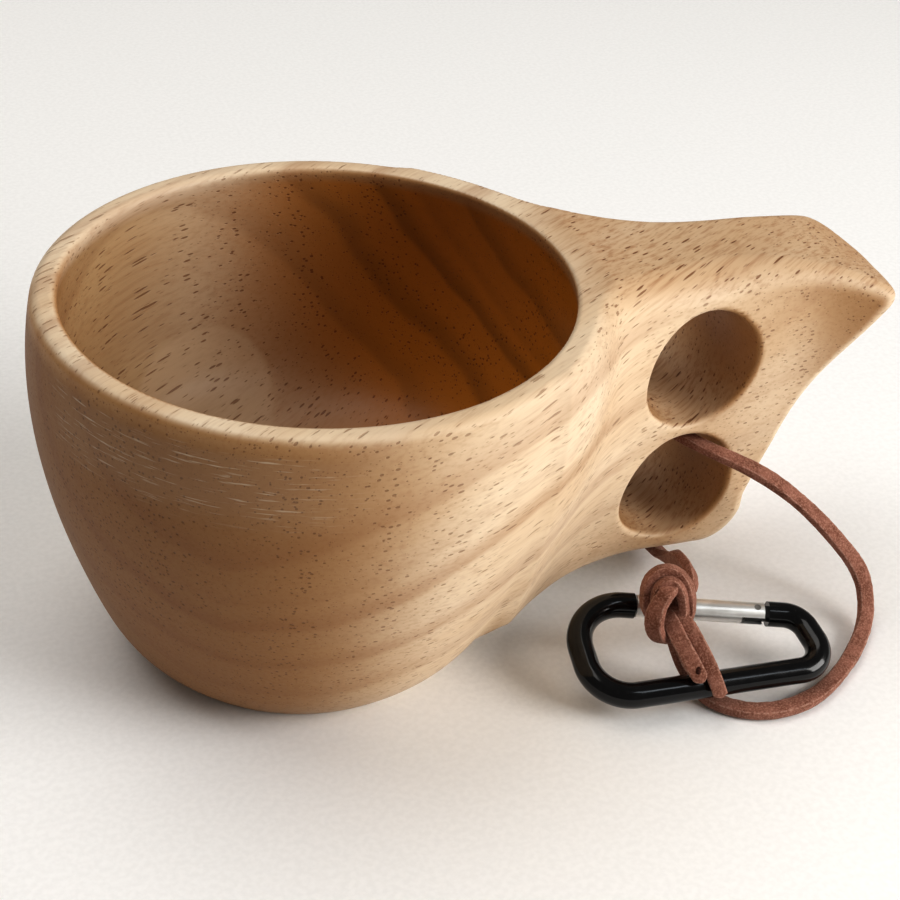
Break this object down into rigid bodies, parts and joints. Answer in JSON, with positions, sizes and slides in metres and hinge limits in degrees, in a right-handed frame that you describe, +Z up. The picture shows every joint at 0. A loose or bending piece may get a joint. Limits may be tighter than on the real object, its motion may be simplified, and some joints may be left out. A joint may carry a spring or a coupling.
{
  "type": "kuksa wooden cup",
  "caption": "Carved wooden drinking cup with a two-finger handle, a knotted suede lace through it and a small D-shaped snap hook on the lace.",
  "frame": {"origin": "centre of the bowl's flat base face, on the table", "axes": "+Z up, +X along the handle from the bowl to its tip, finger holes along Y"},
  "size_m": [0.1612, 0.1048, 0.0725],
  "materials": {
    "wood": "oiled satin, open pores",
    "suede": "matte suede",
    "black_rod": "gloss black",
    "bright_metal": "polished",
    "steel": "plain"
  },
  "bodies": {
    "cup": {"cup_body": "wood", "lace_loop": "suede", "lace_knot": "suede", "lace_tail_short": "suede", "lace_tail_long": "suede"},
    "carabiner": {"carabiner_frame": "black_rod", "gate_hinge_pin": "steel", "gate_latch_pin": "steel"},
    "gate": {"carabiner_gate": "bright_metal", "gate_spring": "steel", "gate_plunger": "steel"}
  },
  "joints": [
    {"name": "carabiner_tilt", "type": "hinge", "parent": "cup", "child": "carabiner", "pos_m": [0.06342, -0.04806, 0.00548], "axis": [0.9971, -0.0767, 0], "range_deg": [-12, 0]},
    {"name": "gate_hinge", "type": "hinge", "parent": "carabiner", "child": "gate", "pos_m": [0.07858, -0.03627, 0.00943], "axis": [-0.0224, -0.2915, 0.9563], "range_deg": [0, 22], "stiffness_Nm_per_rad": 0.08, "springref_deg": -11.46}
  ]
}
